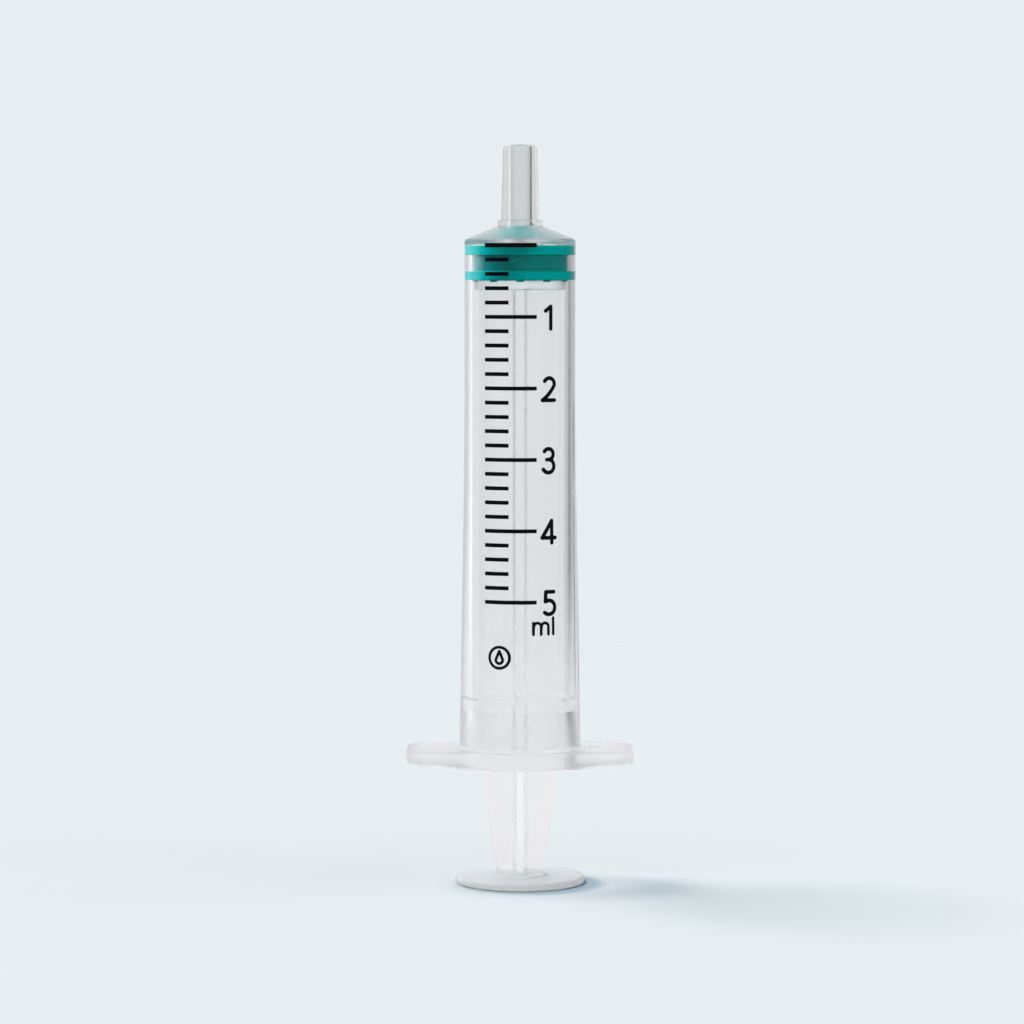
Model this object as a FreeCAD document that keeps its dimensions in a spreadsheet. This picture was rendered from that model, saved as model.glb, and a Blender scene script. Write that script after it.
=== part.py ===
"""Oral syringe of 5 ml: clear barrel with its printed scale, elastomer stopper and plunger rod.

The model stands on the thumb disc with the nozzle up. The origin is the centre of the thumb disc's
underside, +Z runs along the syringe's axis to the nozzle, and the scale faces -Y. The plunger is
pushed home, so the stopper's rim is level with the zero line. Everything is in millimetres.
"""

import FreeCAD, Part
import math
import os

import Sketcher
from FreeCAD import Placement, Rotation, Vector

UP = Vector(0, 0, 1)
SHEET = "Sizes"
CLOSE = 0.01

# Driving dimensions, in millimetres and degrees. Heights on the barrel count from the underside of its
# finger flange, heights on the stopper from its lower rim and heights on the rod from its thumb disc.
DIMENSIONS = {
    # Barrel: the bore sets the scale's pitch, because a millilitre must fill the same length of it.
    "bore_radius": 6.04,
    "wall": 0.83,
    "barrel_height": 76.7,
    "bore_height": 64.42,
    "shoulder_height": 65.05,
    "shoulder_slope": 22.4,
    "shoulder_round": 0.5,
    "foot_radius": 7.52,
    "draft_low_height": 34.0,
    "draft_high_height": 46.0,
    "draft_step": 0.1,
    # Nozzle: a slip tip with a plain taper.
    "nozzle_base_radius": 2.36,
    "nozzle_tip_radius": 2.07,
    "nozzle_round": 0.6,
    "channel_radius": 1.25,
    "channel_flare": 0.25,
    "channel_round": 0.3,
    "nozzle_collar_radius": 2.78,
    "nozzle_collar_height": 0.7,
    # Finger flange: a round disc about the barrel and a wing to each side.
    "flange_length": 28.1,
    "flange_thickness": 2.1,
    "flange_disc_radius": 8.8,
    "flange_edge_round": 0.4,
    "wing_tip_thickness": 1.75,
    "wing_tip_width": 10.0,
    "wing_root_width": 11.2,
    "wing_root_reach": 9.4,
    "wing_shoulder_width": 14.9,
    "wing_shoulder_reach": 3.9,
    "wing_corner_round": 2.6,
    "wing_root_round": 4.0,
    "wing_slope_reach": 7.52,
    # Mouth of the bore: a funnel under the bead that keeps the stopper in.
    "bead_radius": 5.92,
    "bead_low_height": 5.8,
    "bead_low_ramp": 0.95,
    "bead_high_height": 8.6,
    "bead_high_ramp": 0.4,
    "mouth_radius": 6.6,
    "mouth_narrowing": 0.15,
    # Grip ribs on top of one wing.
    "rib_count": 4,
    "rib_pitch": 0.6,
    "rib_width": 0.24,
    "rib_length": 2.4,
    "rib_height": 0.2,
    "rib_reach": 8.1,
    # Stopper.
    "lip_clearance": 0.02,
    "lip_round": 0.12,
    "stopper_height": 4.3,
    "low_lip_height": 1.15,
    "groove_height": 1.95,
    "groove_depth": 0.12,
    "nose_slope": 22.4,
    "nose_flat_radius": 1.35,
    "socket_clearance": 0.04,
    "nib_count": 11,
    "nib_width": 0.9,
    "nib_thickness": 0.15,
    "nib_height": 0.18,
    "nib_gap": 0.06,
    # Plunger rod.
    "rod_showing": 14.85,
    "disc_radius": 8.03,
    "disc_thickness": 0.95,
    "disc_round": 0.35,
    "disc_recess_radius": 1.3,
    "disc_recess_depth": 0.3,
    "disc_ring_radius": 3.5,
    "disc_ring_height": 0.25,
    "disc_ring_slope": 0.15,
    "disc_ring_round": 0.1,
    "fin_foot_reach": 2.85,
    "fin_reach": 5.05,
    "fin_taper_height": 17.1,
    "fin_thickness": 0.7,
    "fin_core_share": 0.66,
    "fin_core_thickness": 1.1,
    "fin_root_round": 0.35,
    "head_radius": 5.6,
    "head_thickness": 1.1,
    "head_round": 0.15,
    "head_gap": 0.03,
    "neck_radius": 1.4,
    "neck_height": 0.9,
    "button_radius": 2.1,
    "button_height": 1.5,
    "button_round": 0.5,
    # Printed scale.
    "zero_height": 64.32,
    "ink_film": 0.04,
    "capacity": 5,
    "steps_per_millilitre": 5,
    "line_width": 0.48,
    "zero_line_width": 0.55,
    "line_start": -4.32,
    "short_line_end": -1.42,
    "long_line_end": 2.03,
    "numeral_angle": 30.4,
    "numeral_drop": 0.1,
    "numeral_height": 3.2,
    "numeral_width": 2.2,
    "numeral_stroke": 0.49,
    "unit_drop": 3.93,
    "unit_angle": 23.5,
    "unit_height": 1.98,
    "unit_low_height": 1.4,
    "unit_arch_width": 0.98,
    "unit_stroke": 0.36,
    "drop_mark_height": 13.9,
    "drop_mark_angle": -20.5,
    "drop_mark_radius": 1.3,
}


# ---------------------------------------------------------------- document, sheet and sketch helpers


def make_sheet(document):
    """Writes every driving dimension into the spreadsheet, one row each, with its name as the alias."""
    sheet = document.addObject("Spreadsheet::Sheet", SHEET)
    for row, (name, size) in enumerate(DIMENSIONS.items(), start=1):
        sheet.set(f"A{row}", name)
        sheet.set(f"B{row}", str(size))
        sheet.setAlias(f"B{row}", name)
    document.recompute()
    return sheet


def formula(text):
    """Turns the sheet's aliases in text into references that other objects can use."""
    for name in sorted(DIMENSIONS, key=len, reverse=True):
        text = text.replace(f"<{name}>", f"{SHEET}.{name}")
    return text


def number(sheet, text):
    """The value that a formula has now."""
    return float(sheet.evalExpression(formula(text)))


def bind(feature, **formulas):
    """Ties properties of a feature to the sheet."""
    for name, text in formulas.items():
        feature.setExpression(name, formula(text))


def origin_part(body, role):
    """One of a body's own origin planes or axes, such as XZ_Plane or Z_Axis."""
    return next(part for part in body.Origin.OriginFeatures if part.Role == role)


def make_body(document, name, height="0"):
    """A body that stands at a height on the syringe's axis."""
    body = document.addObject("PartDesign::Body", name)
    body.Label = name
    bind(body, **{".Placement.Base.z": height})
    return body


def make_sketch(body, name, plane, height="0"):
    """A sketch on one of the body's origin planes, or at a height above it."""
    sketch = body.newObject("Sketcher::SketchObject", name)
    sketch.AttachmentSupport = [(origin_part(body, plane), "")]
    sketch.MapMode = "FlatFace"
    bind(sketch, **{".AttachmentOffset.Base.z": height})
    return sketch


def tie_point(sketch, sheet, geometry, end, corner):
    """Ties one point of a sketch to the formulas of its two coordinates."""
    for kind, axis, text in (("DistanceX", -2, corner[0]), ("DistanceY", -1, corner[1])):
        if text == "0":
            sketch.addConstraint(Sketcher.Constraint("PointOnObject", geometry, end, axis))
            continue
        size = number(sheet, text)
        index = sketch.addConstraint(Sketcher.Constraint(kind, -1, 1, geometry, end, size))
        sketch.setExpression(f"Constraints[{index}]", formula(text))


def round_corner(sketch, sheet, corner, point, ends, lines):
    """Joins two lines of an outline by an arc that is tangent to both."""
    radius = number(sheet, corner[2])
    turn = (point - ends[0]).cross(ends[1] - point).z
    middle = (ends[0] + ends[1]) / 2
    centre = point + (middle - point) * ((ends[0] - point).Length / (middle - point).Length) ** 2
    first, last = ends if turn > 0 else reversed(ends)
    start = math.atan2(first.y - centre.y, first.x - centre.x)
    stop = math.atan2(last.y - centre.y, last.x - centre.x)
    circle = Part.Circle(centre, UP, radius)
    arc = sketch.addGeometry(Part.ArcOfCircle(circle, start, stop))
    arc_ends = (1, 2) if turn > 0 else (2, 1)
    sketch.addConstraint(Sketcher.Constraint("Tangent", lines[0], 2, arc, arc_ends[0]))
    sketch.addConstraint(Sketcher.Constraint("Tangent", arc, arc_ends[1], lines[1], 1))
    index = sketch.addConstraint(Sketcher.Constraint("Radius", arc, radius))
    sketch.setExpression(f"Constraints[{index}]", formula(corner[2]))
    mark = sketch.addGeometry(Part.Point(point), True)
    for line in lines:
        sketch.addConstraint(Sketcher.Constraint("PointOnObject", mark, 1, line))
    tie_point(sketch, sheet, mark, 1, corner)


def draw_outline(sketch, sheet, corners):
    """Draws a closed outline. Each corner is (x, y), or (x, y, radius) for a rounded one, in formulas."""
    points = [Vector(number(sheet, corner[0]), number(sheet, corner[1])) for corner in corners]
    arc_ends = []
    for i, corner in enumerate(corners):
        back = (points[i - 1] - points[i]).normalize()
        ahead = (points[(i + 1) % len(points)] - points[i]).normalize()
        reach = number(sheet, corner[2]) / math.tan(back.getAngle(ahead) / 2) if len(corner) > 2 else 0
        arc_ends.append((points[i] + back * reach, points[i] + ahead * reach))
    lines = []
    for i in range(len(corners)):
        line = Part.LineSegment(arc_ends[i][1], arc_ends[(i + 1) % len(corners)][0])
        lines.append(sketch.addGeometry(line))
    for i, corner in enumerate(corners):
        if len(corner) > 2:
            pair = (lines[i - 1], lines[i])
            round_corner(sketch, sheet, corner, points[i], arc_ends[i], pair)
        else:
            sketch.addConstraint(Sketcher.Constraint("Coincident", lines[i - 1], 2, lines[i], 1))
            tie_point(sketch, sheet, lines[i], 1, corner)


def turned(body, sheet, kind, name, corners):
    """A Revolution or a Groove about the body's Z axis, from corners of (radius, height)."""
    sketch = make_sketch(body, name + "_outline", "XZ_Plane")
    draw_outline(sketch, sheet, corners)
    feature = body.newObject(f"PartDesign::{kind}", name)
    feature.Profile = sketch
    feature.ReferenceAxis = (sketch, ["V_Axis"])
    feature.Angle = 360
    return feature


def padded(body, sheet, name, plane, corners, length, height="0", both_ways=False):
    """A Pad of an outline, upwards or to both sides of its plane."""
    sketch = make_sketch(body, name + "_outline", plane, height)
    draw_outline(sketch, sheet, corners)
    feature = body.newObject("PartDesign::Pad", name)
    feature.Profile = sketch
    feature.Midplane = both_ways
    bind(feature, Length=length)
    return feature


def rounded(body, name, base, radius, wanted):
    """A Fillet on the edges of base that wanted picks."""
    names = [f"Edge{i}" for i, edge in enumerate(base.Shape.Edges, start=1) if wanted(edge)]
    feature = body.newObject("PartDesign::Fillet", name)
    feature.Base = (base, names)
    bind(feature, Radius=radius)
    return feature


def around(body, name, original, count, angle="360"):
    """A PolarPattern of a feature about the body's Z axis."""
    pattern = body.newObject("PartDesign::PolarPattern", name)
    pattern.Originals = [original]
    pattern.Axis = (origin_part(body, "Z_Axis"), [""])
    bind(pattern, Occurrences=count, Angle=angle)
    body.Tip = pattern
    return pattern


# ---------------------------------------------------------------- barrel


def make_barrel(document, sheet):
    """The clear moulding: finger flange, tube, conical shoulder and slip-tip nozzle."""
    body = make_body(document, "barrel", "<rod_showing>")
    make_wings(document, body, sheet)
    rise = "(<bore_radius> + <wall> - <nozzle_collar_radius>) * tan(<shoulder_slope>)"
    collar_top = f"<shoulder_height> + {rise} + <nozzle_collar_height>"
    outside = [
        ("0", "0"),
        ("<flange_disc_radius>", "0", "<flange_edge_round>"),
        ("<flange_disc_radius>", "<flange_thickness>", "<flange_edge_round>"),
        ("<foot_radius>", "<flange_thickness>", "<flange_edge_round>"),
        ("<bore_radius> + <wall> + <draft_step>", "<draft_low_height>"),
        ("<bore_radius> + <wall>", "<draft_high_height>"),
        ("<bore_radius> + <wall>", "<shoulder_height>", "<shoulder_round>"),
        ("<nozzle_collar_radius>", f"<shoulder_height> + {rise}"),
        ("<nozzle_collar_radius>", collar_top, "<flange_edge_round> / 2"),
        ("<nozzle_base_radius>", collar_top),
        ("<nozzle_tip_radius>", "<barrel_height>", "<nozzle_round>"),
        ("0", "<barrel_height>"),
    ]
    turned(body, sheet, "Revolution", "outer_form", outside)
    inner_rise = "(<bore_radius> - <channel_radius>) * tan(<shoulder_slope>)"
    inside = [
        ("0", "0"),
        ("<mouth_radius>", "0"),
        ("<mouth_radius> - <mouth_narrowing>", "<flange_thickness>"),
        ("<bore_radius>", "<bead_low_height>"),
        ("<bead_radius>", "<bead_low_height> + <bead_low_ramp>"),
        ("<bead_radius>", "<bead_high_height> - <bead_high_ramp>"),
        ("<bore_radius>", "<bead_high_height>"),
        ("<bore_radius>", "<bore_height>", "<channel_round>"),
        ("<channel_radius>", f"<bore_height> + {inner_rise}", "<channel_round>"),
        ("<channel_radius>", "<barrel_height> - <channel_flare>"),
        ("<channel_radius> + <channel_flare>", "<barrel_height>"),
        ("0", "<barrel_height>"),
    ]
    turned(body, sheet, "Groove", "bore", inside)
    make_grip_ribs(body, sheet)
    return body


def make_wings(document, body, sheet):
    """The two flange wings, thinner towards their tips, with every outer edge rounded."""
    quarter = [
        ("<flange_length> / 2", "<wing_tip_width> / 2", "<wing_corner_round>"),
        ("<wing_root_reach>", "<wing_root_width> / 2", "<wing_root_round>"),
        ("<wing_shoulder_reach>", "<wing_shoulder_width> / 2"),
    ]
    corners = list(quarter)
    for sign_x, sign_y, part in (("-", "", quarter[::-1]), ("-", "-", quarter), ("", "-", quarter[::-1])):
        corners += [(sign_x + c[0], sign_y + c[1], *c[2:]) for c in part]
    plate = padded(body, sheet, "wing_plate", "XY_Plane", corners, "<flange_thickness>")
    for side, sign in (("right", ""), ("left", "-")):
        cut_underside(body, sheet, side, sign)
    document.recompute()
    last = body.Tip
    rounded(body, "wing_edges", last, "<flange_edge_round>", lambda edge: is_rim(edge, plate))


def cut_underside(body, sheet, side, sign):
    """Cuts the sloping underside of one wing with a wedge that runs on past the wing's tip."""
    sketch = make_sketch(body, f"{side}_underside_outline", "XZ_Plane")
    slope = "(<flange_thickness> - <wing_tip_thickness>) / (<flange_length> / 2 - <wing_slope_reach>)"
    wedge = [
        (f"{sign}<wing_slope_reach>", "0"),
        (f"{sign}<flange_length>", "0"),
        (f"{sign}<flange_length>", f"{slope} * (<flange_length> - <wing_slope_reach>)"),
    ]
    draw_outline(sketch, sheet, wedge)
    cut = body.newObject("PartDesign::Pocket", f"{side}_underside")
    cut.Profile = sketch
    cut.Type = "ThroughAll"
    cut.Midplane = True


def is_rim(edge, plate):
    """True for an edge of the plate's top or bottom outline, and false for one that runs upwards."""
    low, high = edge.BoundBox.ZMin, edge.BoundBox.ZMax
    across = max(edge.BoundBox.XLength, edge.BoundBox.YLength)
    return high - low < across / 2


def make_grip_ribs(body, sheet):
    """A row of small ribs on top of the right wing."""
    left = "<rib_reach> - <rib_width> / 2"
    right = "<rib_reach> + <rib_width> / 2"
    corners = [
        (left, "-<rib_length> / 2"),
        (right, "-<rib_length> / 2"),
        (right, "<rib_length> / 2"),
        (left, "<rib_length> / 2"),
    ]
    rib = padded(body, sheet, "grip_rib", "XY_Plane", corners, "<rib_height>", "<flange_thickness>")
    row = body.newObject("PartDesign::LinearPattern", "grip_ribs")
    row.Originals = [rib]
    row.Direction = (origin_part(body, "X_Axis"), [""])
    bind(row, Occurrences="<rib_count>", Length="<rib_pitch> * (<rib_count> - 1)")
    body.Tip = row


# ---------------------------------------------------------------- stopper


def make_stopper(document, sheet):
    """The elastomer seal: two lips, a shallow groove, a conical nose and a snap socket for the rod."""
    body = make_body(document, "stopper", "<rod_showing> + <zero_height> - <stopper_height>")
    lip = "<bore_radius> - <lip_clearance>"
    core = f"{lip} - <groove_depth>"
    groove_low = "<low_lip_height>"
    groove_high = "<low_lip_height> + <groove_height>"
    nose_rise = f"({lip} - <nose_flat_radius>) * tan(<nose_slope>)"
    outside = [
        ("0", "0"),
        (lip, "0", "<lip_round>"),
        (lip, groove_low, "<lip_round> / 2"),
        (core, groove_low),
        (core, groove_high),
        (lip, groove_high, "<lip_round> / 2"),
        (lip, "<stopper_height>", "<lip_round>"),
        ("<nose_flat_radius>", f"<stopper_height> + {nose_rise}", "<lip_round>"),
        ("0", f"<stopper_height> + {nose_rise}"),
    ]
    turned(body, sheet, "Revolution", "seal", outside)
    neck = "<neck_radius> + <socket_clearance>"
    button = "<button_radius> + <socket_clearance>"
    lip_top = "<neck_height> - <head_gap> - <socket_clearance>"
    socket = [
        ("0", "0"),
        (neck, "0"),
        (neck, lip_top),
        (button, lip_top),
        (button, "<neck_height> + <button_height> + <socket_clearance>", "<button_round>"),
        ("0", "<neck_height> + <button_height> + <socket_clearance>"),
    ]
    turned(body, sheet, "Groove", "socket", socket)
    make_nibs(body, sheet)
    return body


def make_nibs(body, sheet):
    """Small blunt nibs that stand down from the stopper's lower rim, clear of the rod's head."""
    inner = "-(<head_radius> + <nib_gap>)"
    outer = "-(<head_radius> + <nib_gap> + <nib_thickness>)"
    corners = [
        ("-<nib_width> / 2", outer),
        ("<nib_width> / 2", outer),
        ("<nib_width> / 2", inner),
        ("-<nib_width> / 2", inner),
    ]
    nib = padded(body, sheet, "nib", "XY_Plane", corners, "<nib_height>")
    nib.Reversed = True
    around(body, "nibs", nib, "<nib_count>")


# ---------------------------------------------------------------- plunger rod


def make_plunger_rod(document, sheet):
    """The clear moulding that the thumb pushes: disc, four stepped fins, head and snap button."""
    body = make_body(document, "plunger_rod")
    ring = "<disc_ring_radius>"
    disc = [
        ("0", "<disc_recess_depth>"),
        ("<disc_recess_radius>", "<disc_recess_depth>"),
        ("<disc_recess_radius>", "0"),
        ("<disc_radius>", "0", "<disc_round>"),
        ("<disc_radius>", "<disc_thickness>", "<disc_round>"),
        (ring, "<disc_thickness>", "<disc_ring_round>"),
        (f"{ring} - <disc_ring_slope>", "<disc_thickness> + <disc_ring_height>", "<disc_ring_round>"),
        ("0", "<disc_thickness> + <disc_ring_height>"),
    ]
    turned(body, sheet, "Revolution", "thumb_disc", disc)
    head_top = "<rod_showing> + <zero_height> - <stopper_height> - <head_gap>"
    head_low = f"{head_top} - <head_thickness>"
    core = fin_outline(head_low, " * <fin_core_share>")
    core_pair = padded(body, sheet, "fin_core_pair", "XZ_Plane", core, "<fin_core_thickness>", both_ways=True)
    around(body, "fin_core_cross", core_pair, "2", "90")
    fins = fin_outline(head_low, "")
    fin_pair = padded(body, sheet, "fin_pair", "XZ_Plane", fins, "<fin_thickness>", both_ways=True)
    cross = around(body, "fin_cross", fin_pair, "2", "90")
    document.recompute()
    half = number(sheet, "<fin_core_thickness> / 2")
    rounded(body, "fin_roots", cross, "<fin_root_round>", lambda edge: is_fin_root(edge, half))
    head = [
        ("0", head_low),
        ("<head_radius>", head_low, "<head_round>"),
        ("<head_radius>", head_top, "<head_round>"),
        ("<neck_radius>", head_top),
        ("<neck_radius>", f"{head_top} + <neck_height>"),
        ("<button_radius>", f"{head_top} + <neck_height>"),
        ("<button_radius>", f"{head_top} + <neck_height> + <button_height>", "<button_round>"),
        ("0", f"{head_top} + <neck_height> + <button_height>"),
    ]
    turned(body, sheet, "Revolution", "head", head)
    return body


def fin_outline(top, share):
    """The outline of two opposite fins, which taper below the flange. share scales how far they reach."""
    foot = "<fin_foot_reach>" + share
    reach = "<fin_reach>" + share
    return [
        ("-" + foot, "<disc_thickness>"),
        (foot, "<disc_thickness>"),
        (reach, "<fin_taper_height>"),
        (reach, top),
        ("-" + reach, top),
        ("-" + reach, "<fin_taper_height>"),
    ]


def is_fin_root(edge, half):
    """True for the four long edges where two fins, each two halves thick, meet."""
    corner = Vector(half, half, 0)
    ends = [Vector(abs(vertex.X), abs(vertex.Y), 0) for vertex in edge.Vertexes]
    return len(ends) == 2 and all(end.isEqual(corner, CLOSE) for end in ends)


# ---------------------------------------------------------------- printed scale


def polyline(*points):
    """The edges of an open line through points of (x, y)."""
    corners = [Vector(*point) for point in points]
    return [Part.makeLine(a, b) for a, b in zip(corners, corners[1:])]


def bow(first, middle, last):
    """The one edge of an arc through three points of (x, y)."""
    return [Part.Arc(Vector(*first), Vector(*middle), Vector(*last)).toShape()]


def bowl(x, y, radius, start, stop):
    """The one edge of an arc about (x, y), between two angles in degrees."""
    turns = [math.radians(angle) for angle in (start, (start + stop) / 2, stop)]
    return bow(*((x + radius * math.cos(turn), y + radius * math.sin(turn)) for turn in turns))


def numeral_strokes(digit, wide, tall):
    """The pen strokes of a plain numeral about the middle of its box, each a list of edges."""
    right, high = wide / 2, tall / 2
    if digit == 1:
        return [polyline((-right * 0.5, high * 0.62), (right * 0.35, high), (right * 0.35, -high))]
    if digit == 2:
        curl = bowl(right * 0.1, high * 0.46, high * 0.54, 150, -15)
        turn = curl[0].Vertexes[1].Point
        sweep = bow((turn.x, turn.y), (right * 0.1, -high * 0.38), (-right, -high))
        return [curl + sweep + polyline((-right, -high), (right, -high))]
    if digit == 3:
        waist = (right * 0.1, high * 0.08)
        upper = bow((-right * 0.72, high * 0.83), (right * 0.72, high * 0.6), waist)
        lower = bow(waist, (right * 0.85, -high * 0.46), (-right * 0.9, -high * 0.8))
        return [upper, lower, polyline((-right * 0.35, waist[1]), waist)]
    if digit == 4:
        stem = polyline((right * 0.4, high), (right * 0.4, -high))
        slope = polyline((right * 0.4, high), (-right * 1.15, -high * 0.54), (right, -high * 0.54))
        return [stem, slope]
    join = (-right * 0.72, high * 0.12)
    belly = bow(join, (right * 0.82, -high * 0.38), (-right * 0.85, -high * 0.86))
    return [polyline((right * 0.68, high), (-right * 0.66, high), join), belly]


def unit_letters(tall, low, arch):
    """The pen strokes of the unit's two letters, m and l, from their baseline up."""
    left = -arch * 1.36
    spring = low * 0.62
    arches = []
    for start in (left, left + arch):
        crown = bow((start + arch * 0.06, spring), (start + arch * 0.55, low), (start + arch, spring))
        arches.append(crown + polyline((start + arch, spring), (start + arch, 0)))
    return [
        [polyline((left, 0), (left, low)), *arches],
        [polyline((left + arch * 2.7, 0), (left + arch * 2.7, tall))],
    ]


def drop_strokes(radius):
    """A plain ring round a water drop, with no lettering."""
    ring = [Part.makeCircle(radius)]
    tip, low = (0, radius * 0.62), radius * 0.16
    belly = bow((-radius * 0.34, -low), (0, -radius * 0.55), (radius * 0.34, -low))
    drop = polyline(tip, (-radius * 0.34, -low)) + belly + polyline((radius * 0.34, -low), tip)
    return [ring, drop]


def pen_line(wire, width):
    """The flat shape of one straight pen stroke with round ends."""
    start, stop = (vertex.Point for vertex in wire.Vertexes)
    along = (stop - start).normalize() * (width / 2)
    side = Vector(-along.y, along.x)
    corners = [start - side, stop - side, stop + side, start + side]
    outline = [
        Part.makeLine(corners[0], corners[1]),
        Part.Arc(corners[1], stop + along, corners[2]).toShape(),
        Part.makeLine(corners[2], corners[3]),
        Part.Arc(corners[3], start - along, corners[0]).toShape(),
    ]
    return Part.Face(Part.Wire(outline))


def inked(strokes, width):
    """The flat shape that a round pen of a given width leaves along its strokes."""
    marks = []
    for edges in strokes:
        wire = Part.Wire(edges)
        if wire.isClosed():
            outer = Part.Face(wire.makeOffset2D(width / 2))
            marks.append(outer.cut(Part.Face(wire.makeOffset2D(-width / 2))))
        elif len(edges) == 1 and edges[0].Curve.TypeId == "Part::GeomLine":
            marks.append(pen_line(wire, width))
        else:
            marks.append(Part.Face(wire.makeOffset2D(width / 2, 0, False, False)))
    return marks[0].fuse(marks[1:]).removeSplitter() if len(marks) > 1 else marks[0]


def stamped(flat, angle, height, radius):
    """Stands a flat mark up at an angle round the barrel and extrudes it outwards through the wall."""
    solid = flat.extrude(UP * radius)
    upright = Placement(Vector(), Rotation(Vector(1, 0, 0), 90))
    turn = Placement(Vector(0, 0, height), Rotation(UP, angle))
    solid.Placement = turn.multiply(upright)
    return solid


def wall_film(document, size):
    """A thin skin over the barrel's tube: its own outline, thickened outwards and turned about Z."""
    outline = document.getObject("outer_form_outline").Shape
    inner = [edge for edge in outline.Edges if is_tube(edge.BoundBox, size)]
    outwards = Vector(size["ink_film"], 0, 0)
    outer = [edge.translated(outwards) for edge in inner]
    ends = sorted((vertex.Point for edge in inner for vertex in edge.Vertexes), key=lambda p: p.z)
    caps = [Part.makeLine(end, end + outwards) for end in (ends[0], ends[-1])]
    section = Part.Face(Part.Wire(Part.__sortEdges__(inner + outer + caps)))
    return section.revolve(Vector(), UP, 360)


def is_tube(box, size):
    """True for the stretches of the barrel's outline between the flange and the cone."""
    return box.XMin > size["bore_radius"] and box.ZMin > size["flange_thickness"] + CLOSE


def make_printed_scale(document, sheet, barrel):
    """The ink film: what the stamps of the scale cut from a thin skin over the barrel's tube.

    The film follows the drafted wall, which no sketch feature can do, so it is made with Part's functions.
    """
    size = {name: float(getattr(sheet, name)) for name in DIMENSIONS}
    reach = size["flange_disc_radius"]
    pitch = 1000 / (math.pi * size["bore_radius"] ** 2)
    zero = size["zero_height"]
    stamps = []
    steps = int(size["capacity"] * size["steps_per_millilitre"])
    for step in range(steps + 1):
        height = zero - pitch * step / size["steps_per_millilitre"]
        whole = step % int(size["steps_per_millilitre"]) == 0
        length = size["long_line_end" if whole else "short_line_end"] - size["line_start"]
        width = size["zero_line_width"] if step == 0 else size["line_width"]
        line = Part.makePlane(length, width, Vector(size["line_start"], -width / 2))
        stamps.append(stamped(line, 0, height, reach))
    pen = size["numeral_stroke"]
    for digit in range(1, int(size["capacity"]) + 1):
        strokes = numeral_strokes(digit, size["numeral_width"] - pen, size["numeral_height"] - pen)
        mark = inked(strokes, pen)
        height = zero - pitch * digit - size["numeral_drop"]
        stamps.append(stamped(mark, size["numeral_angle"], height, reach))
    baseline = zero - pitch * size["capacity"] - size["unit_drop"]
    for letter in unit_letters(size["unit_height"], size["unit_low_height"], size["unit_arch_width"]):
        mark = inked(letter, size["unit_stroke"])
        stamps.append(stamped(mark, size["unit_angle"], baseline, reach))
    drop = inked(drop_strokes(size["drop_mark_radius"]), size["unit_stroke"])
    stamps.append(stamped(drop, size["drop_mark_angle"], size["drop_mark_height"], reach))
    film = wall_film(document, size)
    marks = [film.common(stamp) for stamp in stamps]
    feature = document.addObject("Part::Feature", "printed_scale")
    feature.Label = "printed_scale"
    feature.Shape = Part.makeCompound([solid for mark in marks for solid in mark.Solids])
    feature.Placement = barrel.Placement
    return feature


# ---------------------------------------------------------------- build, check and write


def check_document(document, nodes):
    """Stops if any object failed, or if a sub-part's shape is null, broken or empty."""
    for item in document.Objects:
        if "Invalid" in item.State or "Error" in item.State:
            raise RuntimeError(f"{item.Name} failed: {item.State}")
    for node in nodes:
        if node.Shape.isNull() or not node.Shape.isValid() or node.Shape.Volume <= 0:
            raise RuntimeError(f"{node.Label} has no valid shape")


def main():
    document = FreeCAD.newDocument("oral_syringe")
    sheet = make_sheet(document)
    barrel = make_barrel(document, sheet)
    stopper = make_stopper(document, sheet)
    rod = make_plunger_rod(document, sheet)
    document.recompute()
    scale = make_printed_scale(document, sheet, barrel)
    document.recompute()
    nodes = [barrel, scale, stopper, rod]
    check_document(document, nodes)
    os.makedirs("parts", exist_ok=True)
    for node in nodes:
        node.Shape.exportStep(f"parts/{node.Label}.step")
        box = node.Shape.optimalBoundingBox(False)
        print(node.Label, len(node.Shape.Solids), round(node.Shape.Volume, 1),
              [round(v, 2) for v in (box.XMin, box.XMax, box.YMin, box.YMax, box.ZMin, box.ZMax)])


main()
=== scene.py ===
"""Looks of the 5 ml oral syringe: clear barrel, printed scale, teal stopper and frosted plunger rod.

The syringe stands on its thumb disc on a pale floor, lit by soft studio light from the left.
Everything is in metres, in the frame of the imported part: +Z to the nozzle, the printed scale facing -Y.
Azimuths are in degrees from -Y, the camera's side, towards -X, the camera's left.
"""

import math

import bpy
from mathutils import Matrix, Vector


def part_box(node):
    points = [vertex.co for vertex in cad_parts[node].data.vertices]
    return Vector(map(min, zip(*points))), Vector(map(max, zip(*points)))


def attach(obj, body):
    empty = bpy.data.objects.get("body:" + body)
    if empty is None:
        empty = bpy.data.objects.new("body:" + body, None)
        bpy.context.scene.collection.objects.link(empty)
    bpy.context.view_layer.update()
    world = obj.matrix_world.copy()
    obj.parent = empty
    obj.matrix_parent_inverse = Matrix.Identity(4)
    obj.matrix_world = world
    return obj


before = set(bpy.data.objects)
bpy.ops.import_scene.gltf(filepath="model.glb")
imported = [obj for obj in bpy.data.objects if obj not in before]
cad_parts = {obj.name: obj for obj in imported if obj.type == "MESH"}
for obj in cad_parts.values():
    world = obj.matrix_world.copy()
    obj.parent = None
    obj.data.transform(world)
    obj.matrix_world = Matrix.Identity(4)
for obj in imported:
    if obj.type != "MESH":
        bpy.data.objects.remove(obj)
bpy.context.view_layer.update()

MM = 0.001
BARREL_LOW, BARREL_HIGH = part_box("barrel")
STOPPER_LOW, STOPPER_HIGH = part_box("stopper")
ROD_LOW, ROD_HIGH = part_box("plunger_rod")

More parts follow.
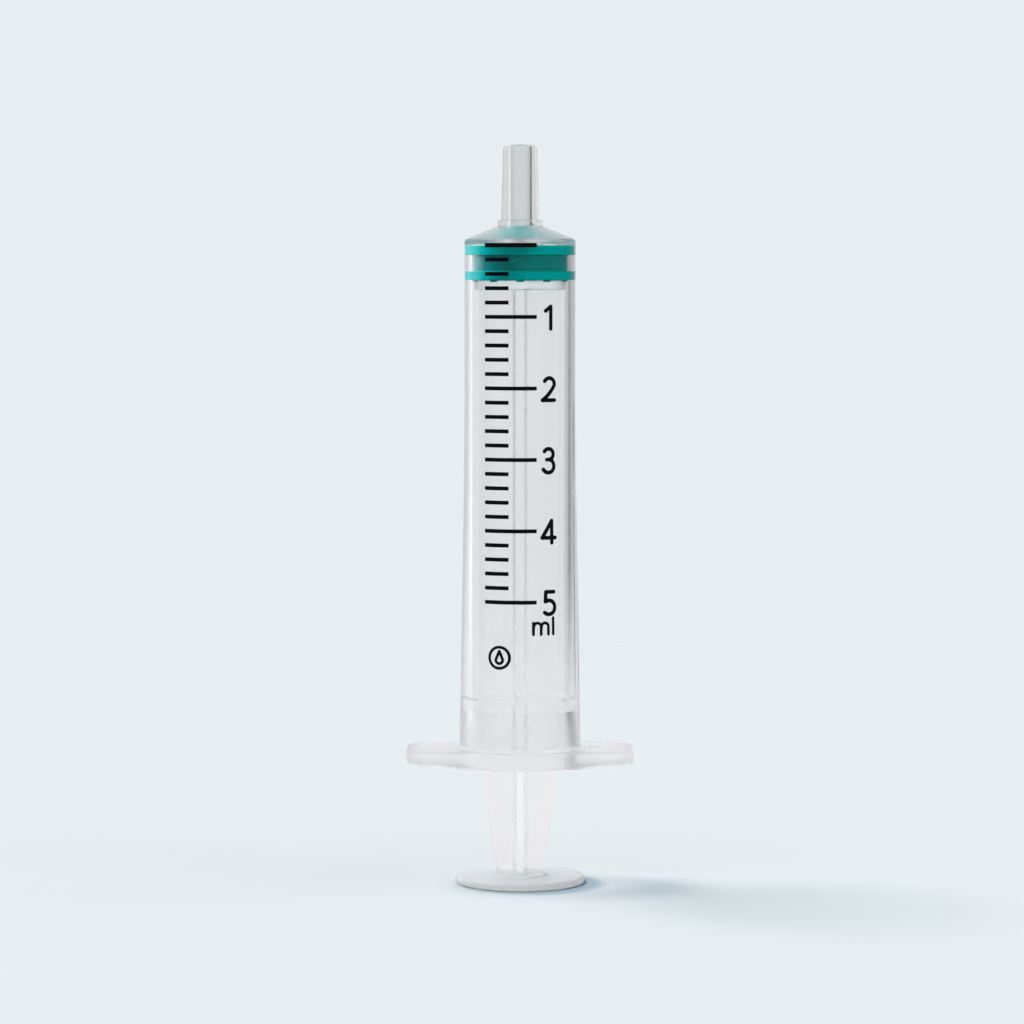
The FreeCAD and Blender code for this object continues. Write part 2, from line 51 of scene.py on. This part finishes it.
# Heights where the plastics change: on the barrel, the top of its finger flange, just under its shoulder
# and the foot of the nozzle's collar, and on the rod, the top of its thumb disc and just under its head.
FLANGE_TOP = BARREL_LOW.z + 2.1 * MM
SHOULDER = BARREL_HIGH.z - 12.8 * MM
COLLAR = BARREL_HIGH.z - 9.9 * MM
DISC_TOP = ROD_LOW.z + 1.2 * MM
HEAD = ROD_HIGH.z - 3.9 * MM

# Radii of the thumb disc and of the stopper's lips.
DISC_RADIUS = ROD_HIGH.x
LIP_RADIUS = STOPPER_HIGH.x

# What the camera sees behind the syringe, and the floor's own colour, which looks the same once it is lit.
BACKDROP = (0.791, 0.855, 0.880)
FLOOR = (0.353, 0.525, 0.642)
# The floor where the thumb disc shades it, and the floor as the plastic reflects and refracts it.
FLOOR_AT_DISC = (0.20, 0.34, 0.46)
FLOOR_IN_PLASTIC = (0.372, 0.515, 0.625)

# Radiance of the room's walls, and the share of it that the front, the left and the right give.
WALLS = (0.92, 0.93, 0.95)
FRONT_LEVEL = 0.015
LEFT_LEVEL = 0.75
RIGHT_LEVEL = 0.95

# Softboxes at the left, at the right and in front: radiance, the spans of azimuth and elevation that they
# fill, and how far their sides fade, in degrees.
SOFTBOXES = (
    {"radiance": (0.42, 0.44, 0.46), "azimuths": (100.0, 140.0), "elevations": (-15.0, 60.0), "fade": 8.0},
    {"radiance": (1.6, 1.65, 1.7), "azimuths": (-120.0, -60.0), "elevations": (25.0, 60.0), "fade": 10.0},
    {"radiance": (1.6, 1.6, 1.6), "azimuths": (-75.0, 75.0), "elevations": (24.0, 52.0), "fade": 10.0},
)

WHITE = (1.0, 1.0, 1.0)
POLYPROPYLENE_IOR = 1.49


# ---------------------------------------------------------------- shader helpers


def plug(tree, socket, value):
    """Feeds an input socket from another node's output, or sets its plain value."""
    if isinstance(value, bpy.types.NodeSocket):
        tree.links.new(value, socket)
    elif isinstance(value, tuple) and socket.type == "RGBA":
        socket.default_value = (*value, 1.0)
    else:
        socket.default_value = value


def node(tree, kind, inputs=None, **settings):
    """A new shader node with its settings and inputs filled in."""
    made = tree.nodes.new("ShaderNode" + kind)
    for name, value in settings.items():
        setattr(made, name, value)
    for name, value in (inputs or {}).items():
        plug(tree, made.inputs[name], value)
    return made


def maths(tree, operation, *values):
    """The result of one Math node."""
    return node(tree, "Math", dict(enumerate(values)), operation=operation).outputs[0]


def fold(tree, operation, first, *others):
    """One operation over any number of values, such as their sum, product or maximum."""
    result = first
    for other in others:
        result = maths(tree, operation, result, other)
    return result


def ramp(tree, value, low, high, to_low=0.0, to_high=1.0):
    """value moved smoothly from low..high to to_low..to_high, and held at the ends."""
    sockets = {"Value": value, "From Min": low, "From Max": high, "To Min": to_low, "To Max": to_high}
    return node(tree, "MapRange", sockets, interpolation_type="SMOOTHSTEP").outputs["Result"]


def above(tree, value, edge, fade):
    """0 up to edge, and 1 from fade above it."""
    return ramp(tree, value, edge, edge + fade)


def below(tree, value, edge, fade):
    """1 up to edge, and 0 from fade above it."""
    return ramp(tree, value, edge, edge + fade, 1.0, 0.0)


def blend(tree, share, first, second):
    """A number that goes from first to second as share goes from 0 to 1."""
    return ramp(tree, share, 0.0, 1.0, first, second)


def blend_colour(tree, share, first, second):
    """A colour that goes from first to second as share goes from 0 to 1."""
    made = node(tree, "Mix", data_type="RGBA")
    plug(tree, made.inputs[0], share)
    plug(tree, made.inputs[6], first)
    plug(tree, made.inputs[7], second)
    return made.outputs[2]


def blend_shader(tree, share, first, second):
    """A shader that goes from first to second as share goes from 0 to 1."""
    return node(tree, "MixShader", {0: share, 1: first, 2: second}).outputs[0]


def added(tree, first, second):
    """The sum of two vectors or colours."""
    return node(tree, "VectorMath", {0: first, 1: second}, operation="ADD").outputs[0]


def scaled(tree, vector, amount):
    """A vector or a colour times an amount."""
    return node(tree, "VectorMath", {0: vector, "Scale": amount}, operation="SCALE").outputs[0]


def length(tree, vector):
    """The length of a vector."""
    return node(tree, "VectorMath", {0: vector}, operation="LENGTH").outputs["Value"]


def flattened(tree, place):
    """A place without its height, which is its offset from the syringe's axis."""
    return node(tree, "VectorMath", {0: place, 1: (1.0, 1.0, 0.0)}, operation="MULTIPLY").outputs[0]


def place_in(tree):
    """The shaded point in the object's own space, which for a CAD node is the part's frame."""
    return node(tree, "TexCoord").outputs["Object"]


def height_in(tree):
    """The height above the thumb disc's underside."""
    return node(tree, "SeparateXYZ", {0: place_in(tree)}).outputs["Z"]


def noise(tree, size, stretch=(1.0, 1.0, 1.0), detail=3.0):
    """Noise in the object's own space whose blobs are about size across, drawn out along the axes."""
    scale = tuple(1.0 / (size * factor) for factor in stretch)
    place = node(tree, "Mapping", {"Vector": place_in(tree), "Scale": scale}).outputs["Vector"]
    sockets = {"Vector": place, "Scale": 1.0, "Detail": detail, "Roughness": 0.5}
    return node(tree, "TexNoise", sockets).outputs["Fac"]


def spread(tree, texture, to_low=0.0, to_high=1.0):
    """A noise, most of which lies between 0.3 and 0.7, moved to fill to_low..to_high."""
    return ramp(tree, texture, 0.3, 0.7, to_low, to_high)


def bump(tree, height, depth):
    """A bump of a real depth in metres."""
    return node(tree, "Bump", {"Height": height, "Distance": depth}).outputs["Normal"]


def new_material(name):
    """An empty node material, its tree and its output node."""
    material = bpy.data.materials.new(name)
    material.use_nodes = True
    tree = material.node_tree
    tree.nodes.clear()
    return material, tree, tree.nodes.new("ShaderNodeOutputMaterial")


def let_lamps_through(tree, surface, share):
    """Lets a share of the lamps' light straight through, so that clear plastic casts a pale shadow."""
    shadow = node(tree, "LightPath").outputs["Is Shadow Ray"]
    clear = node(tree, "BsdfTransparent", {"Color": scaled(tree, WHITE, share)}).outputs[0]
    return blend_shader(tree, shadow, surface, clear)


# ---------------------------------------------------------------- materials


def barrel_colour_with_painted_shade(tree, flow, shoulder, painted_edge_zone):
    """The tint, with painted shade: darker at the tube's grazing edges, and in front on the shoulder and
    nozzle.
    """
    grazing = ramp(tree, node(tree, "LayerWeight", {"Blend": 0.5}).outputs["Facing"], 0.50, 0.75)
    tube = blend_colour(tree, spread(tree, flow), (0.975, 0.98, 0.985), (0.995, 0.995, 0.995))
    # Painted shade: the shoulder and nozzle are grey where they face the camera, and white at their edges.
    painted_front_shade = blend_colour(tree, grazing, (0.83, 0.835, 0.835), WHITE)
    front = blend_colour(tree, shoulder, tube, painted_front_shade)
    # Painted shade: the tube turns grey-blue at its grazing edges.
    painted_edge_shade = maths(tree, "MULTIPLY", grazing, painted_edge_zone)
    return blend_colour(tree, painted_edge_shade, front, (0.72, 0.75, 0.77))


def clear_polypropylene():
    """Clear moulded polypropylene: a glossy tube, a milky flange, and a satin shoulder and nozzle."""
    material, tree, output = new_material("clear_polypropylene")
    height = height_in(tree)
    flange = below(tree, height, FLANGE_TOP - 0.1 * MM, 0.6 * MM)
    clear = above(tree, height, FLANGE_TOP + 0.9 * MM, 7.0 * MM)
    shoulder = above(tree, height, SHOULDER, 0.8 * MM)
    nozzle = above(tree, height, COLLAR, 0.4 * MM)
    # Painted shade: where the tube, above the flange and below the nozzle, darkens at its grazing edges.
    painted_edge_zone = maths(tree, "MULTIPLY", clear, maths(tree, "SUBTRACT", 1.0, nozzle))
    flow = noise(tree, 2.2 * MM, stretch=(1.0, 1.0, 14.0), detail=2.0)
    scuffs = noise(tree, 0.35 * MM, stretch=(1.0, 1.0, 5.0), detail=4.0)

    gloss = ramp(tree, scuffs, 0.35, 0.75, 0.03, 0.07)
    haze = blend(tree, clear, 0.18, 0.04)
    milk = maths(tree, "MULTIPLY", flange, 0.27)
    satin = maths(tree, "MULTIPLY", shoulder, 0.12)
    # The flange and the nozzle bend light less than real polypropylene, in which they would turn dark.
    thick = maths(tree, "MAXIMUM", flange, nozzle)
    surface = node(tree, "BsdfPrincipled", {
        "Base Color": barrel_colour_with_painted_shade(tree, flow, shoulder, painted_edge_zone),
        "Roughness": fold(tree, "ADD", gloss, haze, milk, satin),
        "IOR": blend(tree, thick, POLYPROPYLENE_IOR, 1.30),
        "Transmission Weight": 1.0,
        "Normal": bump(tree, flow, 0.001 * MM),
    }).outputs[0]
    share = ramp(tree, height, FLANGE_TOP - 0.1 * MM, FLANGE_TOP + 1.9 * MM, 0.76, 0.985)
    plug(tree, output.inputs["Surface"], let_lamps_through(tree, surface, share))
    return material


def frosted_polypropylene():
    """Natural polypropylene with a fine mould texture: milky on the thumb disc, clearer along the fins."""
    material, tree, output = new_material("frosted_polypropylene")
    height = height_in(tree)
    disc = below(tree, height, DISC_TOP, 1.0 * MM)
    head = above(tree, height, HEAD, 0.3 * MM)
    flow = noise(tree, 1.8 * MM, stretch=(1.0, 1.0, 9.0), detail=2.0)
    grain = noise(tree, 0.16 * MM)

    fins = blend_colour(tree, spread(tree, flow), (0.975, 0.975, 0.98), (0.99, 0.99, 0.99))
    fins_and_disc = blend_colour(tree, disc, fins, (0.99, 0.985, 0.97))
    satin_disc = maths(tree, "MULTIPLY", disc, 0.32)
    satin_head = maths(tree, "MULTIPLY", head, 0.30)
    texture = maths(tree, "MULTIPLY", grain, maths(tree, "SUBTRACT", 1.0, disc))
    # The head bends light less than real polypropylene, in which it would turn dark under the stopper.
    surface = node(tree, "BsdfPrincipled", {
        # Painted reflection: the head's greyish teal-green tint stands for the stopper seen in it.
        "Base Color": blend_colour(tree, head, fins_and_disc, (0.90, 0.95, 0.93)),
        "Roughness": fold(tree, "ADD", spread(tree, grain, 0.05, 0.09), satin_disc, satin_head),
        "IOR": blend(tree, head, POLYPROPYLENE_IOR, 1.15),
        "Transmission Weight": blend(tree, disc, 0.97, 0.82),
        "Normal": bump(tree, texture, 0.0002 * MM),
    }).outputs[0]
    plug(tree, output.inputs["Surface"], let_lamps_through(tree, surface, blend(tree, disc, 0.93, 0.2)))
    return material


def teal_elastomer():
    """Smooth teal elastomer. The lips sit wet on the wall, so only the groove and the nose shine."""
    material, tree, output = new_material("teal_elastomer")
    height = height_in(tree)
    reach = length(tree, flattened(tree, place_in(tree)))
    lips = above(tree, reach, LIP_RADIUS - 0.06 * MM, 0.03 * MM)
    # Painted light: the underside gets the lips' lit teal, though little light reaches it.
    underside = below(tree, height, STOPPER_LOW.z + 0.5 * MM, 0.4 * MM)
    # The lips and the underside lose their shine, and both take the painted lit teal.
    wetted_and_painted_lit = maths(tree, "MAXIMUM", lips, underside)
    # Painted light: the nose pales towards the lit teal near its top.
    nose = ramp(tree, height, STOPPER_HIGH.z - 1.6 * MM, STOPPER_HIGH.z - 1.2 * MM, 0.0, 0.35)
    mottle = noise(tree, 1.1 * MM, detail=4.0)
    film = noise(tree, 0.5 * MM, stretch=(1.0, 1.0, 0.3), detail=2.0)

    # Painted light and shade: a lit teal and a shaded teal of one rubber. The groove gets the shaded one.
    painted_lit_teal = blend_colour(tree, spread(tree, mottle), (0.0, 0.41, 0.375), (0.0, 0.45, 0.415))
    shaded = blend_colour(tree, spread(tree, mottle), (0.0, 0.22, 0.21), (0.0, 0.24, 0.23))
    surface = node(tree, "BsdfPrincipled", {
        "Base Color": blend_colour(tree, maths(tree, "MAXIMUM", wetted_and_painted_lit, nose), shaded, painted_lit_teal),
        "Roughness": spread(tree, film, 0.22, 0.30),
        "IOR": 1.45,
        "Specular IOR Level": blend(tree, wetted_and_painted_lit, 0.38, 0.0),
        "Normal": bump(tree, mottle, 0.003 * MM),
    }).outputs[0]
    plug(tree, output.inputs["Surface"], surface)
    return material


def black_ink():
    """Pad-printed black ink: matt, and a little paler in small specks."""
    material, tree, output = new_material("black_ink")
    specks = noise(tree, 0.12 * MM)
    pale = ramp(tree, specks, 0.55, 0.75)
    surface = node(tree, "BsdfPrincipled", {
        "Base Color": blend_colour(tree, pale, (0.001, 0.001, 0.001), (0.008, 0.008, 0.009)),
        "Roughness": spread(tree, specks, 0.55, 0.70),
        "Specular IOR Level": 0.08,
        "Normal": bump(tree, specks, 0.004 * MM),
    }).outputs[0]
    plug(tree, output.inputs["Surface"], surface)
    return material


# ---------------------------------------------------------------- pieces


def dress(name, material):
    """Gives a CAD node its material."""
    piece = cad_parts[name]
    piece.data.materials.clear()
    piece.data.materials.append(material)


def press_radially(name, distance, beyond=0.0):
    """Moves the points of a piece that are further than beyond from the axis outwards by distance."""
    tree = bpy.data.node_groups.new(name + "_press", "GeometryNodeTree")
    for direction in ("INPUT", "OUTPUT"):
        tree.interface.new_socket("Geometry", in_out=direction, socket_type="NodeSocketGeometry")
    source = tree.nodes.new("NodeGroupInput")
    result = tree.nodes.new("NodeGroupOutput")
    offset = flattened(tree, tree.nodes.new("GeometryNodeInputPosition").outputs[0])
    outwards = node(tree, "VectorMath", {0: offset}, operation="NORMALIZE").outputs[0]
    move = tree.nodes.new("GeometryNodeSetPosition")
    plug(tree, move.inputs["Geometry"], source.outputs[0])
    plug(tree, move.inputs["Selection"], maths(tree, "GREATER_THAN", length(tree, offset), beyond))
    plug(tree, move.inputs["Offset"], scaled(tree, outwards, distance))
    plug(tree, result.inputs[0], move.outputs[0])
    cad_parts[name].modifiers.new("press", "NODES").node_group = tree


def make_pieces():
    """Materials for the four CAD nodes, and the contact between those that touch."""
    dress("barrel", clear_polypropylene())
    dress("plunger_rod", frosted_polypropylene())
    dress("stopper", teal_elastomer())
    dress("printed_scale", black_ink())
    # The lips press into the wall and the ink keys into it, so no air is left between them.
    press_radially("stopper", 0.03 * MM, beyond=LIP_RADIUS - 0.05 * MM)
    press_radially("printed_scale", -0.015 * MM)


# ---------------------------------------------------------------- floor


def floor_colour(tree, place):
    """The floor's colour in the plastic, and for the camera, which also sees a shade about the disc."""
    shade_to_axis = (-1.5 * MM, 1.2 * MM, 0.0)
    reach = length(tree, added(tree, place, shade_to_axis))
    shade = below(tree, reach, DISC_RADIUS - 0.5 * MM, 2.5 * MM)
    camera = node(tree, "LightPath").outputs["Is Camera Ray"]
    return blend_colour(tree, camera, FLOOR_IN_PLASTIC, blend_colour(tree, shade, FLOOR, FLOOR_AT_DISC))


def make_floor():
    """A round pale floor that fades into the backdrop. It rides on the rod, whose disc stands on it."""
    radius = 0.5
    gap = 0.01 * MM
    bpy.ops.mesh.primitive_circle_add(vertices=96, radius=radius, fill_type="NGON", location=(0, 0, -gap))
    floor = bpy.context.object
    floor.name = "floor"
    material, tree, output = new_material("floor")
    place = place_in(tree)
    lit = node(tree, "BsdfDiffuse", {"Color": floor_colour(tree, place)}).outputs[0]
    clear = node(tree, "BsdfTransparent").outputs[0]
    faded = ramp(tree, length(tree, place), radius * 0.2, radius * 0.9)
    plug(tree, output.inputs["Surface"], blend_shader(tree, faded, lit, clear))
    floor.data.materials.append(material)
    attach(floor, "plunger_rod")
    return floor


# ---------------------------------------------------------------- light


def angles(tree, direction):
    """A direction's azimuth and elevation, both in degrees."""
    parts = node(tree, "SeparateXYZ", {0: direction}).outputs
    toward = maths(tree, "MULTIPLY", parts[1], -1.0)
    left = maths(tree, "MULTIPLY", parts[0], -1.0)
    turn = maths(tree, "DEGREES", maths(tree, "ARCTAN2", left, toward))
    rise = maths(tree, "DEGREES", maths(tree, "ARCSINE", parts[2]))
    return turn, rise


def inside(tree, value, span, fade):
    """1 between the two ends of a span and 0 outside it, with ends that fade."""
    low, high = span
    return maths(
        tree, "MULTIPLY",
        above(tree, value, low - fade, 2.0 * fade),
        below(tree, value, high - fade, 2.0 * fade),
    )


def wall_light(tree, turn, rise):
    """The walls' radiance: dark in front, pale at the sides and the back, and dimmer overhead."""
    left = ramp(tree, turn, 82.0, 100.0, FRONT_LEVEL, LEFT_LEVEL)
    right = ramp(tree, turn, -174.0, -114.0, RIGHT_LEVEL, FRONT_LEVEL)
    back = ramp(tree, maths(tree, "ABSOLUTE", turn), 140.0, 175.0)
    # A wall that is seen straight through the plastic is pale on every side, so that it never turns black.
    path = node(tree, "LightPath").outputs
    bounces = maths(tree, "ADD", path["Glossy Depth"], path["Diffuse Depth"])
    seen_through = maths(tree, "MULTIPLY", maths(tree, "LESS_THAN", bounces, 0.5), 0.85)
    level = fold(tree, "MAXIMUM", left, right, back, seen_through)
    # Matt surfaces get a little less of it.
    on_matt = blend(tree, path["Diffuse Depth"], 1.0, 0.7)
    overhead = ramp(tree, rise, 40.0, 75.0, 1.0, 0.6)
    return scaled(tree, WALLS, fold(tree, "MULTIPLY", level, on_matt, overhead))


def make_studio():
    """The world: a flat backdrop for the camera, and for all else a room with softboxes."""
    world = bpy.data.worlds.new("studio")
    bpy.context.scene.world = world
    world.use_nodes = True
    tree = world.node_tree
    tree.nodes.clear()
    output = tree.nodes.new("ShaderNodeOutputWorld")
    turn, rise = angles(tree, node(tree, "TexCoord").outputs["Generated"])
    light = wall_light(tree, turn, rise)
    for box in SOFTBOXES:
        sideways = inside(tree, turn, box["azimuths"], box["fade"])
        upwards = inside(tree, rise, box["elevations"], box["fade"])
        light = added(tree, light, scaled(tree, box["radiance"], maths(tree, "MULTIPLY", sideways, upwards)))
    room = node(tree, "Background", {"Color": light}).outputs[0]
    backdrop = node(tree, "Background", {"Color": BACKDROP}).outputs[0]
    camera = node(tree, "LightPath").outputs["Is Camera Ray"]
    plug(tree, output.inputs["Surface"], blend_shader(tree, camera, room, backdrop))


def make_lamp(name, pieces, azimuth, elevation, width, energy, colour):
    """A sun that lights only some pieces. Its azimuth, its elevation and its width are in degrees."""
    lamp = bpy.data.lights.new(name, "SUN")
    lamp.angle = math.radians(width)
    lamp.energy = energy
    lamp.color = colour
    sun = bpy.data.objects.new(name, lamp)
    bpy.context.scene.collection.objects.link(sun)
    turn = math.radians(azimuth)
    rise = math.radians(elevation)
    level = math.cos(rise)
    source = Vector((-math.sin(turn) * level, -math.cos(turn) * level, math.sin(rise)))
    sun.rotation_euler = source.to_track_quat("Z", "Y").to_euler()
    # The plastic mirrors the softboxes alone, without a hard spot from the sun.
    sun.visible_glossy = False
    sun.visible_transmission = False
    group = bpy.data.collections.new(name + "_lights")
    for piece in pieces:
        group.objects.link(piece)
    sun.light_linking.receiver_collection = group


def make_lamps(floor):
    """Two suns at the left: a warm one for the floor, and a cooler and wider one for the syringe."""
    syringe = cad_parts.values()
    warm = (1.0, 0.61, 0.447)
    cool = (0.82, 0.89, 1.0)
    make_lamp("floor_lamp", [floor], azimuth=119.0, elevation=63.0, width=24.0, energy=5.64, colour=warm)
    make_lamp("key_lamp", syringe, azimuth=111.0, elevation=50.0, width=34.0, energy=7.2, colour=cool)


# ---------------------------------------------------------------- camera


def make_camera():
    """The camera looks almost level at the syringe, from a little above its middle."""
    sideways = -1.0 * MM
    distance = 0.480
    height = 0.07615
    pitch = math.radians(3.569)
    lens = bpy.data.cameras.new("camera")
    lens.sensor_width = 36.0
    lens.lens = 136.385
    lens.clip_start = 0.01
    lens.clip_end = 100.0
    camera = bpy.data.objects.new("camera", lens)
    camera.location = (sideways, -distance, height)
    camera.rotation_euler = (math.pi / 2 - pitch, 0.0, 0.0)
    bpy.context.scene.collection.objects.link(camera)
    bpy.context.scene.camera = camera


def set_light_paths():
    """Enough bounces for light that is caught inside the clear walls, and plain colours."""
    scene = bpy.context.scene
    scene.view_settings.view_transform = "Standard"
    scene.cycles.max_bounces = 20
    scene.cycles.glossy_bounces = 12
    scene.cycles.transmission_bounces = 16
    scene.cycles.transparent_max_bounces = 24


make_pieces()
floor = make_floor()
make_studio()
make_lamps(floor)
make_camera()
set_light_paths()
